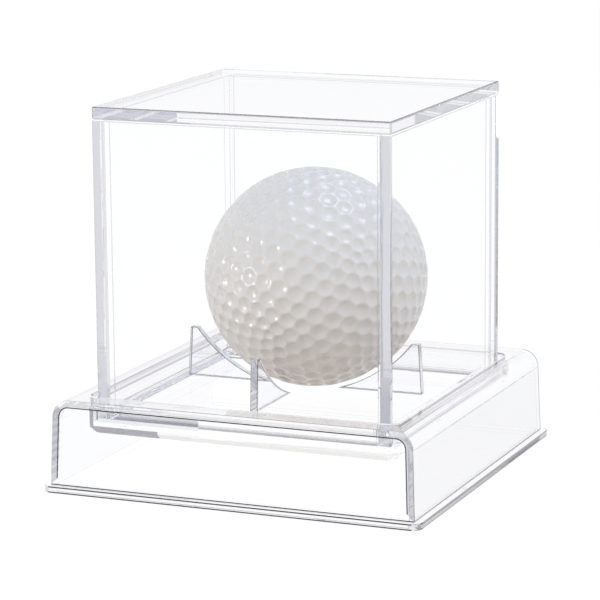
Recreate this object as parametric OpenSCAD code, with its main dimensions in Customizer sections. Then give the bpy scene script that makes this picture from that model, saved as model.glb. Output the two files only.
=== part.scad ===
// Clear display case for one golf ball.
// A square cover of five bonded clear panels drops into a moulded base tray.
// The ball stands on the tray's raised platform between four clear fins.
// Origin: middle of the foot flange's underside. X to the right, Y to the back, Z up.

/* [Ball] */
// Diameter of the ball
ball_d = 42.67; // [35:0.01:52]
// Depth of a dimple at its middle
dimple_depth = 0.24; // [0.1:0.02:0.4]
// Rows of dimples from one five-sided dimple to the next
dimple_rows = 8; // [4:1:8]
// How the ball happens to lie, turned about X, Y and Z
ball_turn = [-36.5, 16.1, 2.6]; // [-180:0.1:180]
// Gap between the ball and the platform under it
ball_gap = 0.3; // [0.1:0.1:0.5]
// How far the ball has rolled to the right of the middle
ball_roll = 2.6; // [0:0.1:3]

/* [Cover] */
// Free space between a ball in the middle and each wall
side_room = 6.265; // [5:0.005:9]
// Free space between the ball and the top panel
top_room = 11.88; // [6:0.01:20]
// Thickness of the clear panels
panel_t = 2.4; // [1.5:0.1:4]
// Bevel along every panel edge
panel_bevel = 0.25; // [0.1:0.05:0.5]

/* [Base] */
// Height of the base
base_h = 17.75; // [13:0.25:30]
// Wall thickness of the moulded tray
tray_wall = 1.25; // [1:0.05:2]
// Width of the rim from the well to the outer edge
rim_w = 5.95; // [5:0.05:12]
// Slope of the skirt from the upright, in degrees
skirt_draft = 2; // [0.5:0.5:5]
// Radius of the two rounded upper edges, left and right
edge_r = 3.3; // [2:0.1:6]
// How far the foot flange stands out from the skirt
flange_out = 1.35; // [0.5:0.05:4]
// Thickness of the foot flange
flange_t = 1.25; // [0.8:0.05:2]
// Corner radius of the foot flange
flange_r = 2; // [0.5:0.1:4]

/* [Well] */
// Depth of the channel that takes the cover, from the rim
well_depth = 5.85; // [5:0.05:9]
// Gap between the cover's walls and the well's wall
cover_gap = 0.35; // [0.2:0.05:0.8]
// Corner radius inside the well
well_r = 1; // [0.5:0.1:1.1]
// Bevel at the well's mouth and round its lower outer edge
well_bevel = 1.1; // [0.5:0.1:1.2]
// Height of the seat rib in the channel
seat_h = 1.2; // [0.6:0.1:2]
// Thickness of the seat rib
seat_t = 1; // [0.6:0.1:1.4]
// How far the platform lies below the rim
platform_drop = 1.9; // [1:0.05:3]
// Gap between the platform and the cover's walls
platform_gap = 0.4; // [0.2:0.05:1]
// Corner radius of the platform
platform_r = 1.6; // [1.5:0.1:3]

/* [Fins] */
// Thickness of a fin
fin_t = 1.5; // [1:0.1:3]
// Height of a fin
fin_h = 9.8; // [6:0.1:12]
// Width of the flat on top of a fin
fin_flat = 1.5; // [0.5:0.1:3]
// How much further out a fin's foot stands than its top
fin_lean = 0.6; // [0:0.1:1.5]
// How much larger than the ball's the radius of the fins' curve is
fin_slack = 6.765; // [4:0.005:9]
// How far the lowest point of the fins' curve would lie below the platform
fin_dip = 1.07; // [0.5:0.01:2]

/* [Hidden] */

clear = [0.88, 0.90, 0.95, 0.35];
clear_edge = [0.80, 0.82, 0.90, 0.45];
ball_white = [0.93, 0.93, 0.91];

// More than any size of the case, for cuts that run right through
beyond = 400;
// A little more than a face, for cuts that open it
past = 1;

// Heights
channel_z = base_h - well_depth;
platform_z = base_h - platform_drop;
cover_z = channel_z + seat_h;
ball_z = platform_z + ball_gap + ball_d / 2;
panel_z = ball_z + ball_d / 2 + top_room;

// Half widths, the two that aren't plain sums rounded to a hundredth
function to_hundredth(size) = round(size * 100) / 100;
inside_half = to_hundredth(ball_d / 2 + side_room);
cover_half = inside_half + panel_t;
well_half = cover_half + cover_gap;
tray_half = well_half + tray_wall;
platform_half = inside_half - platform_gap;
rim_half = well_half + rim_w;
skirt_half = to_hundredth(rim_half + base_h * tan(skirt_draft));
flange_half = skirt_half + flange_out;

// The fins' curve: a circle over the middle of the platform
curve_r = ball_d / 2 + fin_slack;
curve_h = curve_r - fin_dip;
fin_inner = sqrt(curve_r ^ 2 - (curve_h - fin_h) ^ 2);
fin_top = fin_inner + fin_flat;
fin_foot = fin_top + fin_lean;

// ---------- base tray ----------

// Square with round corners, centred, as exact arcs
module round_square(half, r) {
    square([2 * half, 2 * (half - r)], center = true);
    square([2 * (half - r), 2 * half], center = true);
    for (x = [-1, 1], y = [-1, 1])
        translate([x * (half - r), y * (half - r)]) circle(r = r, $fn = 48);
}

module round_block(half, r, z0, z1) {
    translate([0, 0, z0]) linear_extrude(z1 - z0) round_square(half, r);
}

// Square block with round corners that narrows by the well's bevel downwards
module bevel_block(top_half, r, z0) {
    z1 = z0 + well_bevel;
    low_half = top_half - well_bevel;
    corner = top_half - r;
    profile = [[-low_half, z0], [low_half, z0], [top_half, z1], [-top_half, z1]];
    for (turn = [0, 90])
        rotate([90, 0, turn]) linear_extrude(2 * corner, center = true) polygon(profile);
    for (x = [-corner, corner], y = [-corner, corner])
        translate([x, y, z0]) cylinder(well_bevel, r - well_bevel, r, $fn = 48);
}

// Cross-section of the skirt: flat top, leaning sides, round upper edges
module arch(half, height, r) {
    // Centre of the round edge, touching the top and the leaning side
    edge_x = half - (r + (height - r) * sin(skirt_draft)) / cos(skirt_draft);
    touch = [edge_x + r * cos(skirt_draft), height - r + r * sin(skirt_draft)];
    polygon([
        [-half, 0], [half, 0], touch, [edge_x, height],
        [-edge_x, height], [-touch.x, touch.y],
    ]);
    for (x = [-edge_x, edge_x])
        translate([x, height - r]) circle(r = r, $fn = 96);
}

// Front and back lean as the sides do, but keep crisp upper edges
module leaning_section(half, height) {
    top = half - height * tan(skirt_draft);
    polygon([[-half, 0], [half, 0], [top, height], [-top, height]]);
}

module skirt_form(half, height, r) {
    intersection() {
        rotate([90, 0, 0])
            linear_extrude(beyond, center = true) arch(half, height, r);
        rotate([90, 0, 90])
            linear_extrude(beyond, center = true) leaning_section(half, height);
    }
}

// The moulded wall that hangs under the well, with a bevelled lower edge
module tray_block() {
    z0 = channel_z - tray_wall;
    round_block(tray_half, well_r + tray_wall, z0 + well_bevel, base_h);
    bevel_block(tray_half, well_r + tray_wall, z0);
}

module skirt_hollow() {
    inner_half = skirt_half - tray_wall / cos(skirt_draft);
    difference() {
        union() {
            skirt_form(inner_half, base_h - tray_wall, edge_r - tray_wall);
            translate([0, 0, -past])
                linear_extrude(past) square(2 * inner_half, center = true);
        }
        tray_block();
    }
    round_block(platform_half - tray_wall, platform_r - tray_wall,
                -past, platform_z - tray_wall);
}

module well() {
    difference() {
        union() {
            round_block(well_half, well_r, channel_z, base_h + past);
            bevel_block(well_half + well_bevel, well_r + well_bevel, base_h - well_bevel);
        }
        round_block(platform_half, platform_r, channel_z - past, platform_z);
    }
}

// Low rib on the channel floor that the cover's lower edge stands on
module seat_rib() {
    middle = cover_half - panel_t / 2;
    translate([0, 0, channel_z]) linear_extrude(seat_h) difference() {
        square(2 * middle + seat_t, center = true);
        square(2 * middle - seat_t, center = true);
    }
}

module base_plinth() {
    color(clear) {
        difference() {
            union() {
                skirt_form(skirt_half, base_h, edge_r);
                round_block(flange_half, flange_r, 0, flange_t);
            }
            skirt_hollow();
            well();
        }
        seat_rib();
    }
}

// ---------- fins ----------

// Upright fin along +X, its inner edge hollowed by the circle over the ball
module fin(turn) {
    color(clear_edge)
        rotate([0, 0, turn])
            translate([0, fin_t / 2, platform_z]) rotate([90, 0, 0]) linear_extrude(fin_t)
                difference() {
                    polygon([[0, 0], [fin_foot, 0], [fin_top, fin_h], [0, fin_h]]);
                    translate([0, curve_h]) circle(r = curve_r, $fn = 180);
                }
}

module ball_fin_right() { fin(0); }
module ball_fin_back() { fin(90); }
module ball_fin_left() { fin(180); }
module ball_fin_front() { fin(270); }

// ---------- cover ----------

// Rectangle with its four corners cut off
module bevelled_rectangle(w, h) {
    b = panel_bevel;
    polygon([
        [b, 0], [w - b, 0], [w, b], [w, h - b],
        [w - b, h], [b, h], [0, h - b], [0, b],
    ]);
}

// Flat panel from one corner, with all twelve edges bevelled
module panel(size) {
    color(clear) intersection() {
        linear_extrude(size.z) bevelled_rectangle(size.x, size.y);
        translate([0, size.y, 0]) rotate([90, 0, 0])
            linear_extrude(size.y) bevelled_rectangle(size.x, size.z);
        rotate([90, 0, 90]) linear_extrude(size.x) bevelled_rectangle(size.y, size.z);
    }
}

module side_panel(x) {
    translate([x, -cover_half, cover_z])
        panel([panel_t, 2 * cover_half, panel_z - cover_z]);
}

// Stands between the two side panels
module cross_panel(y) {
    translate([-inside_half, y, cover_z])
        panel([2 * inside_half, panel_t, panel_z - cover_z]);
}

module cover_left_panel() { side_panel(-cover_half); }
module cover_right_panel() { side_panel(inside_half); }
module cover_front_panel() { cross_panel(-cover_half); }
module cover_back_panel() { cross_panel(inside_half); }

module cover_top_panel() {
    translate([-cover_half, -cover_half, panel_z])
        panel([2 * cover_half, 2 * cover_half, panel_t]);
}

// ---------- ball ----------
// Dimples lie on a grid drawn over the twenty faces of an icosahedron. Every
// second grid point is the sunk middle of a dimple, the rest are its rim.

grid = 2 * dimple_rows;
golden = (1 + sqrt(5)) / 2;
corners = [
    for (s = [-1, 1], t = [-1, 1])
        each [[0, s, t * golden], [s, t * golden, 0], [t * golden, 0, s]]
];
function joined(a, b) = abs(norm(corners[a] - corners[b]) - 2) < 0.01;
ridges = [for (a = [0:10], b = [a + 1:11]) if (joined(a, b)) [a, b]];
sides = [
    for (a = [0:9], b = [a + 1:10], c = [b + 1:11])
        if (joined(a, b) && joined(b, c) && joined(a, c)) [a, b, c]
];

// Numbering of the grid points: corners first, then ridges, then inside each side
per_ridge = grid - 1;
per_side = (grid - 1) * (grid - 2) / 2;
function ridge_number(a, b) =
    [for (n = [0:len(ridges) - 1]) if (ridges[n] == [min(a, b), max(a, b)]) n][0];
// Point that lies n steps from corner a towards corner b
function on_ridge(a, b, n) =
    len(corners) + ridge_number(a, b) * per_ridge + (a < b ? n : grid - n) - 1;
// Point i steps towards the side's second corner and j towards its third
function point_number(side, i, j) =
    let (a = sides[side][0], b = sides[side][1], c = sides[side][2])
    i == 0 && j == 0 ? a
    : i == grid ? b
    : j == grid ? c
    : j == 0 ? on_ridge(a, b, i)
    : i == 0 ? on_ridge(a, c, j)
    : i + j == grid ? on_ridge(b, c, j)
    : len(corners) + len(ridges) * per_ridge + side * per_side
      + (i - 1) * (grid - 1) - i * (i - 1) / 2 + j - 1;

function on_ball(v, i, j) =
    let (sunk = i % 2 == 0 && j % 2 == 0 ? dimple_depth : 0)
    v / norm(v) * (ball_d / 2 - sunk);
function side_point(side, i, j) =
    on_ball(corners[sides[side][0]] * (grid - i - j)
            + corners[sides[side][1]] * i + corners[sides[side][2]] * j, i, j);
function ridge_point(ridge, n) =
    on_ball(corners[ridge[0]] * (grid - n) + corners[ridge[1]] * n, n, 0);

ball_points = [
    for (v = corners) on_ball(v, 0, 0),
    for (ridge = ridges, n = [1:grid - 1]) ridge_point(ridge, n),
    for (side = [0:len(sides) - 1], i = [1:grid - 2], j = [1:grid - 1 - i])
        side_point(side, i, j),
];

// A side is drawn the other way round where its corners run anticlockwise
function outward(side) =
    cross(corners[sides[side][0]], corners[sides[side][1]]) * corners[sides[side][2]] < 0;
function facet(side, p, q, r) = outward(side) ? [p, q, r] : [r, q, p];
ball_faces = [
    for (side = [0:len(sides) - 1], i = [0:grid - 1], j = [0:grid - 1 - i]) each [
        facet(side, point_number(side, i, j), point_number(side, i + 1, j),
              point_number(side, i, j + 1)),
        if (i + j < grid - 1)
            facet(side, point_number(side, i + 1, j), point_number(side, i + 1, j + 1),
                  point_number(side, i, j + 1)),
    ],
];

module golf_ball() {
    color(ball_white)
        translate([ball_roll, 0, ball_z]) rotate(ball_turn)
            polyhedron(points = ball_points, faces = ball_faces);
}

base_plinth();
ball_fin_left();
ball_fin_front();
ball_fin_right();
ball_fin_back();
cover_front_panel();
cover_back_panel();
cover_left_panel();
cover_right_panel();
cover_top_panel();
golf_ball();
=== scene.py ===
"""Clear display case for one golf ball, as it is put together.

A moulded polystyrene base carries a well, a raised platform and four clear fins.
A cover of five bonded acrylic panels stands in the well, and the ball lies inside.
Everything is in metres, Z up, with the origin under the middle of the base.
"""

import math

import bmesh
import bpy
from mathutils import Matrix, Vector


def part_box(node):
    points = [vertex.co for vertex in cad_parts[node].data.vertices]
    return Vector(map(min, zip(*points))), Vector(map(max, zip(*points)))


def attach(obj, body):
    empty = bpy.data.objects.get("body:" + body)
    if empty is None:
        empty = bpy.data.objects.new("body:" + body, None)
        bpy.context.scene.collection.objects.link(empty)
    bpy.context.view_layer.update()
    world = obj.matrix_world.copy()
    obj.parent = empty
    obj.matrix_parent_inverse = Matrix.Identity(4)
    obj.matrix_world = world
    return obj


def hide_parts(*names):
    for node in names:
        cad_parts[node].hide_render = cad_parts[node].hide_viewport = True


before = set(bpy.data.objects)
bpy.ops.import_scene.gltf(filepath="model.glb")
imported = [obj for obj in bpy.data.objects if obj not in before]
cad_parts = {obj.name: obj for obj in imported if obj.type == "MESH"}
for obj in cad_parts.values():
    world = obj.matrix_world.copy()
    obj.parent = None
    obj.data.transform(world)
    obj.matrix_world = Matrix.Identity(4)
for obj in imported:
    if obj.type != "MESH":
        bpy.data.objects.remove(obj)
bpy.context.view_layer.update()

# ---------------------------------------------------------------------------
# Camera. A long lens a little above the case, turned to show the front and the
# right side, as a shop shows such a case.
# ---------------------------------------------------------------------------
MM = 0.001
camera_turn = math.radians(22.695)
camera_rise = math.radians(11.703)
camera_roll = math.radians(-0.494)
camera_distance = 575.66 * MM
camera_aim = Vector((-0.55, 0, 32.53)) * MM
sensor_width = 36
lens_length = 177.2

scene = bpy.context.scene
back = Vector((math.sin(camera_turn) * math.cos(camera_rise),
               -math.cos(camera_turn) * math.cos(camera_rise),
               math.sin(camera_rise)))
right = Vector((math.cos(camera_turn), math.sin(camera_turn), 0))
up = back.cross(right)
turned = Matrix((right, up, back)).transposed() @ Matrix.Rotation(camera_roll, 3, "Z")
camera = bpy.data.objects.new("camera", bpy.data.cameras.new("camera"))
camera.data.sensor_width = sensor_width
camera.data.lens = lens_length
camera.data.clip_start = 0.01
camera.matrix_world = Matrix.Translation(camera_aim + back * camera_distance) @ turned.to_4x4()
scene.collection.objects.link(camera)
scene.camera = camera
scene.view_settings.view_transform = "Standard"

# Light meets many clear walls on its way through the case
wall_crossings, inner_reflections = 64, 48
scene.cycles.max_bounces = wall_crossings
scene.cycles.transmission_bounces = wall_crossings
scene.cycles.glossy_bounces = inner_reflections
scene.cycles.transparent_max_bounces = wall_crossings

# ---------------------------------------------------------------------------
# Studio. A white table that runs into a white background, a large soft lamp
# overhead and a small one to the left. What the clear edges bend towards the eye is the
# dimmer room round the table, and that draws some of their grey lines. The rest are
# painted shade, tinted into the plastics of the edges.
# ---------------------------------------------------------------------------
# Reflections inside the plastic over which one part of the room gives way to the next
first_turns, later_turns = (1, 3), (4, 6)
table_half, table_drop = 3, 0.05 * MM
# How bright the table is by itself, and how much the lamps add where nothing shades it
table_glow, table_shade = 0.95, 0.1
lamps_aim = Vector((0, 0, 37 * MM))


def linear(colour):
    """Linear RGBA of an sRGB colour written as six hex digits."""
    parts = [int(colour[i:i + 2], 16) / 255 for i in (0, 2, 4)]
    return [c / 12.92 if c <= 0.04045 else ((c + 0.055) / 1.055) ** 2.4 for c in parts] + [1]


def add(tree, kind, inputs=None, **settings):
    """A new node. An input takes a value, or another node or socket to link to."""
    made = tree.nodes.new(kind)
    for name, value in settings.items():
        setattr(made, name, value)
    for name, value in (inputs or {}).items():
        if isinstance(value, bpy.types.Node):
            value = value.outputs[0]
        if isinstance(value, bpy.types.NodeSocket):
            tree.links.new(value, made.inputs[name])
        else:
            made.inputs[name].default_value = value
    return made


def seen_straight(tree):
    """1 where the eye looks straight at a surface or through clear walls, else 0."""
    path = add(tree, "ShaderNodeLightPath").outputs
    direct = add(tree, "ShaderNodeMath", {0: path["Is Camera Ray"], 1: path["Is Transmission Ray"]},
                 operation="MAXIMUM")
    unturned = add(tree, "ShaderNodeMath", {0: path["Glossy Depth"], 1: 0.5}, operation="LESS_THAN")
    return add(tree, "ShaderNodeMath", {0: direct, 1: unturned}, operation="MULTIPLY")


def ramp(tree, factor, stops):
    """A colour ramp with the given (place, colour) stops."""
    made = add(tree, "ShaderNodeValToRGB", {0: factor})
    elements = made.color_ramp.elements
    for place, colour in stops[2:]:
        elements.new(place)
    for element, (place, colour) in zip(elements, sorted(stops)):
        element.position = place
        element.color = linear(colour)
    return made


def light_room():
    """White behind the case, and round it the room that its edges bend into view."""
    world = bpy.data.worlds.new("studio")
    world.use_nodes = True
    scene.world = world
    tree = world.node_tree
    tree.nodes.clear()
    direction = add(tree, "ShaderNodeTexCoord").outputs["Generated"]
    height = add(tree, "ShaderNodeSeparateXYZ", {0: direction}).outputs["Z"]
    share = add(tree, "ShaderNodeMapRange", {0: height, 1: -1, 2: 1})
    # What lights matt things: warm from the table, cool from above
    soft = ramp(tree, share, [(0, "b4a694"), (0.5, "c8c6c4"), (0.62, "b4b6bc"), (1, "9ca4b2")])
    # Bent without being turned back: the white wall, and the dark ceiling over it
    ceiling = ramp(tree, share, [(0, "ffffff"), (0.56, "ffffff"), (0.7, "484850"), (1, "30303a")])
    # Turned back inside the plastic: the room round the table
    level = add(tree, "ShaderNodeVectorMath", {0: direction, 1: (1, 1, 0)}, operation="MULTIPLY")
    heading = add(tree, "ShaderNodeVectorMath", {0: level}, operation="NORMALIZE")
    towards = add(tree, "ShaderNodeVectorMath", {0: heading, 1: white_wall},
                  operation="DOT_PRODUCT")
    turn = add(tree, "ShaderNodeMapRange", {0: towards.outputs["Value"], 1: -1, 2: 1})
    walls = ramp(tree, turn, [(0, "ceced6"), (0.5, "c6c6d0"), (0.86, "c8c8d2"), (0.94, "f4f4f6"),
                              (1, "ffffff")])
    path = add(tree, "ShaderNodeLightPath").outputs
    turned_again = add(tree, "ShaderNodeMapRange",
                       {0: path["Glossy Depth"], 1: first_turns[0], 2: first_turns[1]})
    once = add(tree, "ShaderNodeMix", {0: turned_again, 6: linear("f4f4f6"), 7: walls.outputs[0]},
               data_type="RGBA")
    turned_often = add(tree, "ShaderNodeMapRange",
                       {0: path["Glossy Depth"], 1: later_turns[0], 2: later_turns[1]})
    trapped = ramp(tree, turn, [(0, "c0c0c8"), (0.35, "e2e2e8"), (0.6, "c4c4cc"), (0.8, "ffffff"),
                                (0.9, "fafafa"), (0.96, "c8c8d0"), (1, "dcdce2")])
    inside = add(tree, "ShaderNodeMix",
                 {0: turned_often, 6: once.outputs[2], 7: trapped.outputs[0]}, data_type="RGBA")
    colours = [(seen_straight(tree), ceiling.outputs[0]), (path["Is Camera Ray"], (1, 1, 1, 1)),
               (path["Is Diffuse Ray"], soft.outputs[0])]
    seen = inside.outputs[2]
    for factor, colour in colours:
        seen = add(tree, "ShaderNodeMix", {0: factor, 6: seen, 7: colour},
                   data_type="RGBA").outputs[2]
    shader = add(tree, "ShaderNodeBackground", {0: seen})
    add(tree, "ShaderNodeOutputWorld", {0: shader})


def add_lamp(name, direction, distance, size, glow, colour, mirrored=True):
    """A square soft lamp that shines at the ball. Glow is how bright its face is."""
    data = bpy.data.lights.new(name, "AREA")
    data.size = size
    data.energy = glow * math.pi * size ** 2
    data.color = linear(colour)[:3]
    lamp = bpy.data.objects.new(name, data)
    away = Vector(direction).normalized()
    lamp.location = lamps_aim + away * distance
    lamp.rotation_euler = away.to_track_quat("Z", "Y").to_euler()
    lamp.visible_camera = False
    lamp.visible_glossy = mirrored
    lamp.visible_transmission = mirrored
    scene.collection.objects.link(lamp)


def lay_floor():
    """A white table that keeps the case's shadow and lights the ball from below."""
    mesh = bpy.data.meshes.new("floor")
    mesh.from_pydata([(x * table_half, y * table_half, -table_drop)
                      for x, y in ((-1, -1), (1, -1), (1, 1), (-1, 1))], [], [(0, 1, 2, 3)])
    floor = bpy.data.objects.new("floor", mesh)
    scene.collection.objects.link(floor)
    material = bpy.data.materials.new("white_table")
    material.use_nodes = True
    tree = material.node_tree
    tree.nodes.clear()
    matt = add(tree, "ShaderNodeBsdfDiffuse", {0: linear("d4c0a8")})
    glow = add(tree, "ShaderNodeEmission", {0: (1, 1, 1, 1), 1: table_glow})
    shade = add(tree, "ShaderNodeBsdfDiffuse", {0: (table_shade,) * 3 + (1,)})
    bright = add(tree, "ShaderNodeAddShader", {0: glow, 1: shade})
    path = add(tree, "ShaderNodeLightPath").outputs
    turned_away = add(tree, "ShaderNodeMath", {0: path["Glossy Depth"], 1: 0.5},
                      operation="GREATER_THAN")
    unlit = add(tree, "ShaderNodeMath", {0: turned_away, 1: path["Is Diffuse Ray"]},
                operation="SUBTRACT", use_clamp=True)
    open_way = add(tree, "ShaderNodeBsdfTransparent")
    table = add(tree, "ShaderNodeMixShader", {0: seen_straight(tree), 1: matt, 2: bright})
    surface = add(tree, "ShaderNodeMixShader", {0: unlit, 1: table, 2: open_way})
    add(tree, "ShaderNodeOutputMaterial", {0: surface})
    mesh.materials.append(material)


white_wall = Vector((-math.sin(camera_turn), math.cos(camera_turn), 0))
light_room()
lay_floor()
# Where each lamp hangs as seen from the ball, its distance and size in metres, the
# brightness of its face and its colour. Two of them show as glints in the lacquer.
add_lamp("overhead_lamp", (0.196, 0.244, 0.949), 1.0, 0.42, 2.3, "e0eaff")
add_lamp("key_lamp", (-0.12, -0.78, 0.56), 1.0, 0.5, 3.7, "fffefc", mirrored=False)
add_lamp("fill_lamp", (0.95, 0.21, 0.29), 1.0, 0.6, 2.8, "eef4ff", mirrored=False)
add_lamp("side_lamp", (-0.743, -0.671, 0.014), 0.6, 0.11, 12, "ffffff")

# ---------------------------------------------------------------------------
# Base. One injection moulding in clear polystyrene: a skirt with a foot flange,
# a well for the cover and a raised platform. The mould leaves every edge
# slightly rounded and the walls faintly wavy.
# ---------------------------------------------------------------------------
base_round = 0.22 * MM
base_ripple_size = 9 * MM
base_ripple_depth = 0.01 * MM


def clear_plastic(name, tint, ior, roughness=0.0, height=None, depth=0.0):
    """Clear plastic that bends what is seen, and lets lamps reach what it covers.

    A wall whose two sides run together shifts hardly anything that is seen through it, so
    its index is close to 1. Edges and ends have the plastic's own, and trap light.
    """
    material = bpy.data.materials.new(name)
    material.use_nodes = True
    tree = material.node_tree
    tree.nodes.clear()
    glass = add(tree, "ShaderNodeBsdfPrincipled",
                {"Base Color": linear(tint), "Roughness": roughness, "IOR": ior,
                 "Transmission Weight": 1.0})
    if height:
        bump = add(tree, "ShaderNodeBump", {"Height": height(tree), "Distance": depth,
                                            "Strength": 1.0})
        tree.links.new(bump.outputs[0], glass.inputs["Normal"])
    open_way = add(tree, "ShaderNodeBsdfTransparent", {0: linear(tint)})
    path = add(tree, "ShaderNodeLightPath").outputs
    unseen = add(tree, "ShaderNodeMath", {0: path["Is Shadow Ray"], 1: path["Is Diffuse Ray"]},
                 operation="MAXIMUM")
    surface = add(tree, "ShaderNodeMixShader", {0: unseen, 1: glass, 2: open_way})
    add(tree, "ShaderNodeOutputMaterial", {0: surface})
    return material


def object_noise(scale, detail=2.0, stretch=(1, 1, 1)):
    """Soft noise in the piece's own metres, as a height for a bump."""
    def height(tree):
        place = add(tree, "ShaderNodeTexCoord").outputs["Object"]
        sized = add(tree, "ShaderNodeMapping", {"Vector": place, "Scale": stretch})
        return add(tree, "ShaderNodeTexNoise", {"Vector": sized, "Scale": scale, "Detail": detail})
    return height


weld_gap = 0.001 * MM
flat_angle, sharp_angle = math.radians(0.5), math.radians(25)
at_limit = 0.01 * MM
edge_segments = 3


def refined(node, name, edge_round, low=(0, 0, 0), high=(0, 0, 0), cuts=(), draw=None,
            square=None):
    """A copy of a CAD node's mesh with rounded edges and smooth curves.

    low and high move its lowest and highest faces outwards, so that a bonded joint
    has no air in it. cuts are (direction, place) planes that part its faces in two, draw
    changes the mesh before its edges are rounded, and square tells which edges stay square.
    """
    shape = bmesh.new()
    shape.from_mesh(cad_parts[node].data)
    bmesh.ops.remove_doubles(shape, verts=shape.verts, dist=weld_gap)
    bmesh.ops.dissolve_limit(shape, angle_limit=flat_angle, verts=shape.verts,
                             edges=shape.edges)
    lowest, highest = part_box(node)
    for vert in shape.verts:
        for axis in range(3):
            if vert.co[axis] < lowest[axis] + at_limit:
                vert.co[axis] -= low[axis]
            if vert.co[axis] > highest[axis] - at_limit:
                vert.co[axis] += high[axis]
    if draw:
        draw(shape)
    for across, place in cuts:
        bmesh.ops.bisect_plane(shape, geom=shape.verts[:] + shape.edges[:] + shape.faces[:],
                               plane_co=across * place, plane_no=across)
    weight = shape.edges.layers.float.new("bevel_weight_edge")
    for edge in shape.edges:
        middle = (edge.verts[0].co + edge.verts[1].co) / 2
        turned = edge.calc_face_angle(0) > sharp_angle
        kept_square = turned and bool(square) and square(middle)
        edge[weight] = float(turned and not kept_square)
        edge.smooth = not kept_square
    mesh = bpy.data.meshes.new(name)
    shape.to_mesh(mesh)
    shape.free()
    mesh.shade_smooth()
    piece = bpy.data.objects.new(name, mesh)
    scene.collection.objects.link(piece)
    bevel = piece.modifiers.new("edges", "BEVEL")
    bevel.width = edge_round
    bevel.segments = edge_segments
    bevel.limit_method = "WEIGHT"
    bevel.use_clamp_overlap = True
    normals = piece.modifiers.new("flats", "WEIGHTED_NORMAL")
    normals.keep_sharp = True
    bpy.context.view_layer.update()
    drawn = piece.evaluated_get(bpy.context.evaluated_depsgraph_get())
    piece.data = bpy.data.meshes.new_from_object(drawn)
    piece.modifiers.clear()
    piece.data.name = name
    return piece


def finished(piece, plastics, finish):
    """Give a piece its plastics, and each face the one that finish(face) names."""
    drawn = [face.material_index for face in piece.data.polygons]
    names = list(plastics)
    piece.data.materials.clear()
    for plastic in plastics.values():
        piece.data.materials.append(plastic)
    for face, slot in zip(piece.data.polygons, drawn):
        face.material_index = slot or names.index(finish(face))


base_plastics = {
    # Mould polished: the wall is as good as unseen, and what shows through it is faintly wavy
    "polished": clear_plastic("crystal_polystyrene_polished", "ffffff", 1.59,
                              height=object_noise(1 / base_ripple_size), depth=base_ripple_depth),
    # The core side of the mould, less polished: softens what lies behind the skirt
    "core_side": clear_plastic("crystal_polystyrene_satin", "ffffff", 1.59, roughness=0.02),
    # Thin walls with both sides alike: clear, with no line and no shift
    "thin_wall": clear_plastic("crystal_polystyrene_thin_wall", "ffffff", 1.02),
    # Painted shade: the thin black line round the skirt's front, a dark tint on its edge
    "painted_black_line": clear_plastic("crystal_polystyrene_edge_painted_black", "141418", 1.15),
    # Broad bevels under the well: the grey bar low on the left and the corner's dark end, both
    # painted shade
    "bevel": clear_plastic("crystal_polystyrene_bevel_painted_shade", "6e6c76", 1.2),
    # Moulded corners: a mid grey outline, painted shade
    "moulded": clear_plastic("crystal_polystyrene_edge_painted_mid_grey", "6e6e72", 1.1),
    # Edges that face the light: a pale grey outline, painted shade
    "painted_pale_outline": clear_plastic("crystal_polystyrene_edge_painted_pale_grey", "b0b0b8", 1.3),
    # A side wall seen end on, through its whole length: the broad grey upright, painted shade in
    # this tint
    "painted_grey_wall_end": clear_plastic("crystal_polystyrene_end_on_painted_grey", "b4b4bc", 1.59),
    # Corners on the far side, seen through the case: barely grey, painted shade
    "painted_grey_far_edge": clear_plastic("crystal_polystyrene_far_corner_painted_grey", "c8c8ce", 1.05),
    # The front bevel: a pale warm bar, a painted reflection of the table
    "painted_table_reflection": clear_plastic("crystal_polystyrene_front_bevel_painted_reflection", "dcdad6", 1.2),
    # The well's wall where the cover's edge stands behind it: a light grey bar of painted shade
    "painted_grey_well_strip": clear_plastic("crystal_polystyrene_well_strip_painted_grey", "dcdce2", 1.05),
    # The skirt's right side, seen at a slant through more plastic: a trace of painted grey shade
    "skirt_side": clear_plastic("crystal_polystyrene_slant_painted_grey", "f3f3f5", 1.59),
}
base_slots = {name: slot for slot, name in enumerate(base_plastics)}

# Where one finish of the base gives way to another, in mm. First heights:
flange_flat = (0.25, 1.0)     # the flange's edge, between its rounded corners
flange_high = 1.2             # the edge with its upper corner
skirt_foot = (1.25, 1.45)     # the crease where the skirt stands on the flange
skirt_start = 1.3
crease_high = 1.4
foot_top = 2.7                # all that belongs to the foot
bevel_high = 11.8             # the sloped part of the bevel under the well
tray_edge = (11.6, 16.4)      # the outside of the well's wall
bevel_top = 12.2              # the bevel with its upper corner
panel_strip = (13.1, 15.3)    # where a panel stands behind the well's wall
well_floor = 13.2             # the channel that the cover stands in
platform_low = 15             # over it, the platform's own edge
skirt_line = (14.3, 14.45)    # the crease where the skirt starts to round over
skirt_side = (1.45, 14.3)     # all between the two creases
rim_strip = 15.9              # over it, the well's wall runs into the rim
under_rim = (16, 16.6)        # the corner under the rim
rim_edge = 17.4               # the corner on top of the rim
# Distances from the base's middle, outwards:
platform_out = 27.3
well_out = 29
tray_out = (30, 31.7)         # the well's wall, outside
tray_side = (31, 32)          # the same on the right, with its corners
rim_out = 33                  # the rim's outer part
corner_out = 35               # the skirt's corners
skirt_out = 36                # the skirt, outside
skirt_in = 36.2               # the skirt, inside
skirt_low = 36.4              # the skirt's foot
flange_out = 38.2             # the flange's outermost edge
# The skirt's back right corner, and how far forward the bevel's left side is painted dark
back_corner, bevel_near = 34, -25
# Along the front, where what the walls reflect begins and ends, and with it the painted strips:
strip_end, bevel_end, platform_end = -8, -16.5, -26.9
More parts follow.
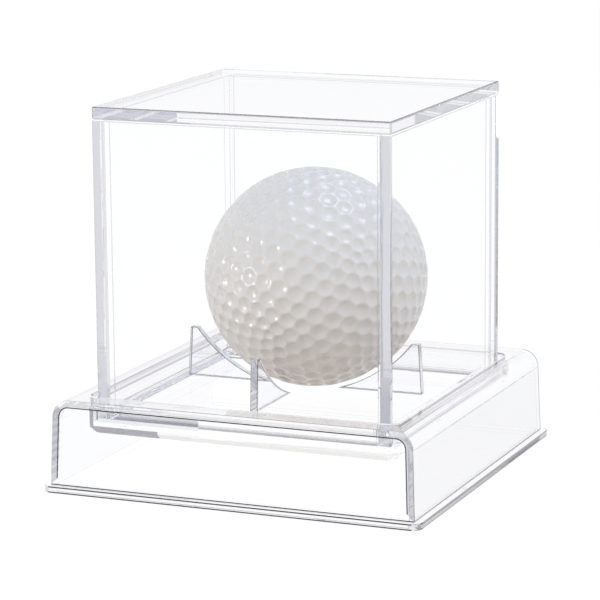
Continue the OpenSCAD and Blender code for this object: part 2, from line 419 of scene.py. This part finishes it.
# The back wall leans with the skirt's draft
skirt_draft, back_out = math.radians(2), 36.5
wall_seen, line_seen = 1.2 * MM, 0.23 * MM
narrow = 0.15 * MM
# How squarely a face looks along an axis
square_on, nearly_on, mostly_on = 0.999, 0.99, 0.9
half_on, partly_on, barely_on = 0.5, 0.3, 0.01

x_way, y_way, z_way = Matrix.Identity(3)
back_lean = Vector((0, math.cos(skirt_draft), math.sin(skirt_draft)))


def between(value, ends):
    """Whether a value lies between two ends."""
    return ends[0] < value < ends[1]


def lies_far(place):
    """Whether a place is on the back or the left side, seen through the whole case."""
    return (place.y > tray_out[0] and place.x < back_corner
            or place.x < -tray_out[0] and place.y > -rim_out)


def draw_walls(shape):
    """Part the skirt's end faces along the inside of the walls that run back from them, and paint
    the strips with grey and a black line of painted shade.
    """
    front = max((face for face in shape.faces if face.normal.y < -nearly_on),
                key=lambda face: face.calc_area())
    for thickness, finish in ((wall_seen, "painted_grey_wall_end"), (line_seen, "painted_black_line")):
        ring = bmesh.ops.inset_individual(shape, faces=[front], thickness=thickness,
                                          use_even_offset=True)["faces"]
        for face in ring:
            middle = face.calc_center_median() / MM
            if middle.z > foot_top and (finish == "painted_black_line" or abs(middle.x) > corner_out):
                face.material_index = base_slots[finish]


def base_finish(face):
    """Which plastic a face of the base shows, by where it lies and which way it looks."""
    place, way = face.center / MM, face.normal
    out = max(abs(place.x), abs(place.y))
    inwards = way.dot(place * Vector((1, 1, 0))) < 0
    sloped = abs(way.z + math.sqrt(0.5)) < barely_on
    points = [base.data.vertices[index].co for index in face.vertices]
    longest = max((a - b).length for a, b in zip(points, points[1:] + points[:1]))
    line = face.area < narrow * longest
    # The back and the left, far from the eye
    if place.z < foot_top and lies_far(place):
        return "painted_grey_far_edge" if line else "thin_wall"
    if place.y > skirt_out and way.y > mostly_on:
        return "thin_wall"
    if place.dot(back_lean) > back_out and place.z > skirt_start and not inwards:
        return "moulded" if place.x > rim_out else "painted_grey_far_edge"
    # The outside of the well's wall, in front and on the right: strips of painted grey shade
    if way.y < -partly_on and between(place.z, tray_edge) and between(out, tray_out):
        if place.z < bevel_top and place.x < bevel_end or way.x < -partly_on:
            return "bevel"
        if between(place.z, panel_strip) and place.x < strip_end:
            return "painted_grey_well_strip"
    if way.x > mostly_on and between(place.x, tray_side) and place.z > rim_strip:
        return "bevel"
    # The platform and the channel round it, with painted grey outlines on its edges
    if out < platform_out:
        if place.x < platform_end and place.z > platform_low:
            return "moulded"
        return "painted_pale_outline" if line and place.z > platform_low else "thin_wall"
    if out < tray_out[1] and place.z < well_floor and not sloped:
        return "thin_wall"
    # The foot flange, and the painted dark and grey lines round it and under the rim
    crease = between(place.z, skirt_foot) and out > skirt_low and not inwards
    rounded = out > flange_out and not between(place.z, flange_flat)
    foot_line = line and (place.z < crease_high or out > corner_out and between(place.z, under_rim))
    if crease or rounded or foot_line:
        return ("painted_black_line" if place.y < -corner_out else
                "moulded" if place.x > corner_out else "painted_pale_outline")
    if place.x > flange_out and place.z < flange_high:
        return "painted_pale_outline"
    # The skirt and the rim
    if way.x > mostly_on and place.x > skirt_out and between(place.z, skirt_line):
        return "painted_grey_far_edge"
    if way.x > mostly_on and place.x > skirt_out and between(place.z, skirt_side):
        return "skirt_side"
    if line and out > well_out and place.z > rim_edge:
        return "painted_pale_outline" if out > rim_out else "moulded"
    if line and place.y > corner_out and place.x > corner_out:
        return "moulded"
    # The bevel under the well: painted grey, and in front a painted reflection of the table
    if place.z < bevel_high and sloped:
        if way.y < -half_on:
            return "bevel" if place.x < bevel_end else "painted_table_reflection"
        return "bevel" if way.x < -half_on and place.y < bevel_near else "thin_wall"
    if inwards and between(out, (rim_out, skirt_in)) and place.z < under_rim[1]:
        return "core_side"
    return "polished"


heights = (*flange_flat, skirt_foot[1], bevel_top, panel_strip[0], *skirt_line, panel_strip[1],
           rim_strip)
base_cuts = [(z_way, height * MM) for height in heights]
base_cuts += [(x_way, place * MM) for place in (strip_end, bevel_end, platform_end)]
base_cuts += [(back_lean, back_out * MM)]
base = refined("base_plinth", "moulded_base", base_round, cuts=base_cuts, draw=draw_walls)
finished(base, base_plastics, base_finish)
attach(base, "base")
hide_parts("base_plinth")

# ---------------------------------------------------------------------------
# Fins. Four clear uprights, laser cut from 1.5 mm acrylic sheet and bonded to
# the platform. The ball lies between their hollow inner edges.
# ---------------------------------------------------------------------------
fin_round = 0.12 * MM
fin_wave_size, fin_wave_depth = 3 * MM, 0.008 * MM
bond = 0.02 * MM
fin_plastics = {
    # Sheet face: clear, and a little wavy like the base
    "face": clear_plastic("acrylic_laser_cut", "fcfcfe", 1.49,
                          height=object_noise(1 / fin_wave_size), depth=fin_wave_depth),
    # Corner of the cut: the thin dark outline of each fin, painted shade
    "corner": clear_plastic("acrylic_fin_outline_painted_dark", "4e4e54", 1.2),
    # Cut edge, faintly ribbed by the laser: frosted, so the hollow edge shows as a soft band
    "cut": clear_plastic("acrylic_laser_cut_edge", "f0f0f2", 1.2, roughness=0.35),
    # The upright edge at the front: smooth, and light grey from painted shade
    "upright": clear_plastic("acrylic_fin_upright_painted_grey", "ececf0", 1.1),
    # Bonded foot: no air under it, so the platform shows through
    "foot": clear_plastic("acrylic_bonded_foot", "d6d6dc", 1.0),
}


def fin_finish(face, thin):
    """Which plastic a face of a fin shows. thin is the axis through the sheet."""
    across = abs(face.normal[thin])
    if face.normal.z < -nearly_on:
        return "foot"
    if across > barely_on:
        return "face" if across > nearly_on else "corner"
    return "upright" if face.normal.y < -nearly_on else "cut"


for side, thin in (("left", 1), ("front", 0), ("right", 1), ("back", 0)):
    fin = refined(f"ball_fin_{side}", f"clear_fin_{side}", fin_round, low=(0, 0, bond))
    finished(fin, fin_plastics, lambda face: fin_finish(face, thin))
    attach(fin, "base")
    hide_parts(f"ball_fin_{side}")

# ---------------------------------------------------------------------------
# Cover. Five panels of 2.4 mm cast acrylic, flame polished at the edges and
# bonded with solvent: two full side panels, front and back between them, and
# the top over all four. It stands loose in the base's well.
# ---------------------------------------------------------------------------
panel_round = 0.1 * MM
streak_width, streak_depth = 0.7 * MM, 0.02 * MM
panel_plastics = {
    # Cast sheet face: as good as unseen
    "face": clear_plastic("acrylic_cast_sheet", "fefefe", 1.05),
    # Flame polished edge: drawn out lengthways, so the uprights shine in soft streaks
    "flamed": clear_plastic("acrylic_flame_polished_edge", "fcfcfd", 1.49,
                            height=object_noise(1 / streak_width, stretch=(1, 1, 0.03)),
                            depth=streak_depth),
    # Rounded corner: a pale grey line along a panel, painted shade
    "bevel": clear_plastic("acrylic_panel_edge_painted_grey", "c8c8ce", 1.3),
    # Solvent bond: no air between two panels, so no surface to see
    "bond": clear_plastic("acrylic_solvent_bond", "ffffff", 1.0),
    # Sawn edge, left rough: spreads the light that the panel leads down, in a light grey
    "sawn": clear_plastic("acrylic_sawn_edge", "d8d8da", 1.49, roughness=0.9),
    # Edge polished flat: the top panel's clear grey and white rim
    "polished": clear_plastic("acrylic_polished_edge", "fcfcfd", 1.49),
    # The top panel's upper corner: the dark line that draws the top, painted shade
    "corner": clear_plastic("acrylic_top_corner_painted_dark", "5c5c64", 1.3),
    # The strip over a bonded edge: the grey upright at the back right, painted shade
    "painted_grey_bond_strip": clear_plastic("acrylic_bond_strip_painted_grey", "c4c4cc", 1.49),
    # The left panel's sawn edge, a little cleaner: keeps its upright light
    "sawn_clean": clear_plastic("acrylic_sawn_edge_thin", "ececec", 1.49, roughness=0.9),
    # Side panels' ends low down, in the well: a slightly greyer foot of painted shade, and duller
    "painted_shade_low_end": clear_plastic("acrylic_low_end_painted_shade", "e8e8ec", 1.49, roughness=0.3),
}
# Widths of the strips behind which the back, the bond and the left edge show
end_shown, bond_shown, side_shown = 1.9 * MM, 2.7 * MM, 0.85 * MM
# Up to this height the side panels' front ends are painted with shade
painted_shade_top = 26 * MM
corner_near, bond_near = 0.2 * MM, 0.1 * MM
# How far each panel's low and high faces reach into a bond
panel_joints = {
    "left": ((0, 0, 0), (0, 0, bond)),
    "right": ((0, 0, 0), (0, 0, bond)),
    "front": ((bond, 0, 0), (bond, 0, bond)),
    "back": ((bond, 0, 0), (bond, 0, bond)),
    "top": ((0, 0, 0), (0, 0, 0)),
}


def inside_bond(side):
    """Which edges of a panel lie inside a bond, where they stay square and show no line."""
    low_corner, high_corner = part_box(f"cover_{side}_panel")

    def square(place):
        at_back = place.y > high_corner.y - bond_near
        if side == "top":
            return at_back and place.z < low_corner.z + bond_near
        if place.z > high_corner.z - bond_near:
            return True
        if side in ("front", "back"):
            return abs(place.x) > high_corner.x - bond_near
        return at_back
    return square


def panel_finish(face, side, low, high):
    """Which plastic a face of a panel shows. low and high tell where it is bonded."""
    place, way = face.center, face.normal
    lowest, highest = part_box(f"cover_{side}_panel")
    thin = min(range(3), key=lambda axis: highest[axis] - lowest[axis])
    at_top, at_back = (place[axis] > highest[axis] - corner_near for axis in (2, 1))
    if abs(way[thin]) > square_on:
        rim = place.x < lowest.x + side_shown or place.y > highest.y - end_shown
        if side == "top" and rim and way.z > 0:
            return "polished"
        if side == "right" and way.x > 0 and place.y > highest.y - bond_shown:
            return "painted_grey_bond_strip"
        return "face"
    if (way.z > square_on and low[2] == 0 and high[2] > 0 or abs(way.x) > square_on and high[0] > 0
            or high[2] > 0 and at_top or high[0] > 0 and abs(place.x) > highest.x - corner_near):
        return "bond"
    if way.z < -square_on:
        return {"left": "sawn_clean", "back": "face"}.get(side, "sawn")
    if way.y < -square_on and side in ("left", "right") and place.z < painted_shade_top:
        return "painted_shade_low_end"
    if side == "left" and at_back:
        return "face"
    if max(abs(part) for part in way) > square_on:
        return "polished" if side == "top" else "flamed"
    if side == "top":
        return "face" if at_back else "corner" if at_top else "bevel"
    return "bevel"


for side, (low, high) in panel_joints.items():
    low_corner, high_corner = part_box(f"cover_{side}_panel")
    cuts = {
        "top": [(x_way, low_corner.x + side_shown), (y_way, high_corner.y - end_shown)],
        "right": [(y_way, high_corner.y - bond_shown), (z_way, painted_shade_top)],
        "left": [(z_way, painted_shade_top)],
    }.get(side, [])
    panel = refined(f"cover_{side}_panel", f"acrylic_{side}", panel_round, low, high, cuts,
                    square=inside_bond(side))
    finished(panel, panel_plastics, lambda face: panel_finish(face, side, low, high))
    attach(panel, "cover")
    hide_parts(f"cover_{side}_panel")

# ---------------------------------------------------------------------------
# Ball. A golf ball with a moulded white cover under a clear gloss lacquer. Its
# hexagonal dimples lie on a grid over the twenty faces of an icosahedron, with
# a five-sided one at each of its twelve corners.
# ---------------------------------------------------------------------------
dimple_levels = 4
dimple_depth = 0.4 * MM
# Each ring of a dimple: its share of the cell's width and of the dimple's depth
dimple_rings = ((0.97, 0.05), (0.8, 0.36), (0.52, 0.73), (0.24, 0.94))
ridge_crease = 0.9
# Share of the radius over which a point still belongs to the ridges
ridge_top = 0.9985
mottle_size = 6 * MM
ball_turn = [math.radians(a) for a in (0.6, 16.8, 21.4)]
ball_low, ball_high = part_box("golf_ball")
ball_middle = (ball_low + ball_high) / 2
ball_radius = 42.67 / 2 * MM


def white_cover():
    """White urethane, moulded and lacquered: soft shade in the dimples under small glints."""
    material = bpy.data.materials.new("urethane_lacquered")
    material.use_nodes = True
    tree = material.node_tree
    tree.nodes.clear()
    mottle = object_noise(1 / mottle_size, detail=3.0)(tree)
    colour = ramp(tree, mottle, [(0.3, "e8e8e7"), (0.7, "ececeb")])
    skin = add(tree, "ShaderNodeBsdfPrincipled",
               {"Base Color": colour.outputs[0], "Roughness": 0.4, "IOR": 1.5,
                "Coat Weight": 1.0, "Coat Roughness": 0.04, "Coat IOR": 1.6})
    add(tree, "ShaderNodeOutputMaterial", {0: skin})
    return material


def dimple_tree(material):
    """Geometry nodes that build the ball from its dimple grid."""
    tree = bpy.data.node_groups.new("dimpled_ball", "GeometryNodeTree")
    face = tree.interface
    for name, kind in (("Radius", "NodeSocketFloat"), ("Dimple Depth", "NodeSocketFloat"),
                       ("Ridge Crease", "NodeSocketFloat"),
                       ("Grid Levels", "NodeSocketInt"), ("Turn", "NodeSocketRotation"),
                       ("Middle", "NodeSocketVector")):
        face.new_socket(name, in_out="INPUT", socket_type=kind)
    face.new_socket("Ball", in_out="OUTPUT", socket_type="NodeSocketGeometry")
    size = add(tree, "NodeGroupInput").outputs
    grid = add(tree, "GeometryNodeMeshIcoSphere",
               {"Radius": 1.0, "Subdivisions": size["Grid Levels"]})
    cells = add(tree, "GeometryNodeDualMesh", {0: grid})
    place = add(tree, "GeometryNodeInputPosition")
    outward = add(tree, "ShaderNodeVectorMath", {0: place}, operation="NORMALIZE")
    on_ball = add(tree, "ShaderNodeVectorMath", {0: outward, "Scale": size["Radius"]},
                  operation="SCALE")
    ridges = add(tree, "GeometryNodeSetPosition", {"Geometry": cells, "Position": on_ball})
    sunk, floor, width, depth = ridges, True, 1, 0
    for ring_width, ring_depth in dimple_rings:
        dished = add(tree, "GeometryNodeExtrudeMesh", {"Mesh": sunk, "Selection": floor,
                                                       "Offset Scale": 0.0, "Individual": True},
                     mode="FACES")
        floor = dished.outputs["Top"]
        drawn_in = add(tree, "GeometryNodeScaleElements",
                       {"Geometry": dished, "Selection": floor, "Scale": ring_width / width},
                       domain="FACE")
        sink = add(tree, "ShaderNodeMath", {0: size["Dimple Depth"], 1: depth - ring_depth},
                   operation="MULTIPLY")
        inward = add(tree, "ShaderNodeVectorMath", {0: outward, "Scale": sink}, operation="SCALE")
        sunk = add(tree, "GeometryNodeSetPosition",
                   {"Geometry": drawn_in, "Selection": floor, "Offset": inward})
        width, depth = ring_width, ring_depth
    distance = add(tree, "ShaderNodeVectorMath", {0: place}, operation="LENGTH")
    share = add(tree, "ShaderNodeMath", {0: distance.outputs["Value"], 1: size["Radius"]},
                operation="DIVIDE")
    top_line = add(tree, "ShaderNodeMath", {0: share, 1: ridge_top}, operation="GREATER_THAN")
    crease = add(tree, "ShaderNodeMath", {0: top_line, 1: size["Ridge Crease"]},
                 operation="MULTIPLY")
    smooth = add(tree, "GeometryNodeSubdivisionSurface", {"Mesh": sunk, "Level": 1,
                                                          "Edge Crease": crease})
    shaded = add(tree, "GeometryNodeSetShadeSmooth", {"Geometry": smooth, "Shade Smooth": True})
    lying = add(tree, "GeometryNodeTransform", {"Geometry": shaded, "Translation": size["Middle"],
                                                "Rotation": size["Turn"]})
    whole = add(tree, "GeometryNodeRealizeInstances", {0: lying})
    painted = add(tree, "GeometryNodeSetMaterial", {"Geometry": whole, "Material": material})
    add(tree, "NodeGroupOutput", {0: painted})
    return tree


def grown(name, tree, sizes):
    """The plain mesh object that a geometry-node tree builds from named sizes."""
    piece = bpy.data.objects.new(name, bpy.data.meshes.new(name))
    scene.collection.objects.link(piece)
    modifier = piece.modifiers.new(name, "NODES")
    modifier.node_group = tree
    for item in tree.interface.items_tree:
        if item.in_out == "INPUT" and item.name in sizes:
            modifier[item.identifier] = sizes[item.name]
    bpy.context.view_layer.update()
    drawn = piece.evaluated_get(bpy.context.evaluated_depsgraph_get())
    piece.data = bpy.data.meshes.new_from_object(drawn)
    piece.modifiers.clear()
    return piece


ball = grown("dimpled_ball", dimple_tree(white_cover()), {
    "Radius": ball_radius, "Dimple Depth": dimple_depth,
    "Ridge Crease": ridge_crease, "Grid Levels": dimple_levels,
    "Turn": ball_turn, "Middle": tuple(ball_middle)})
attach(ball, "ball")
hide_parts("golf_ball")
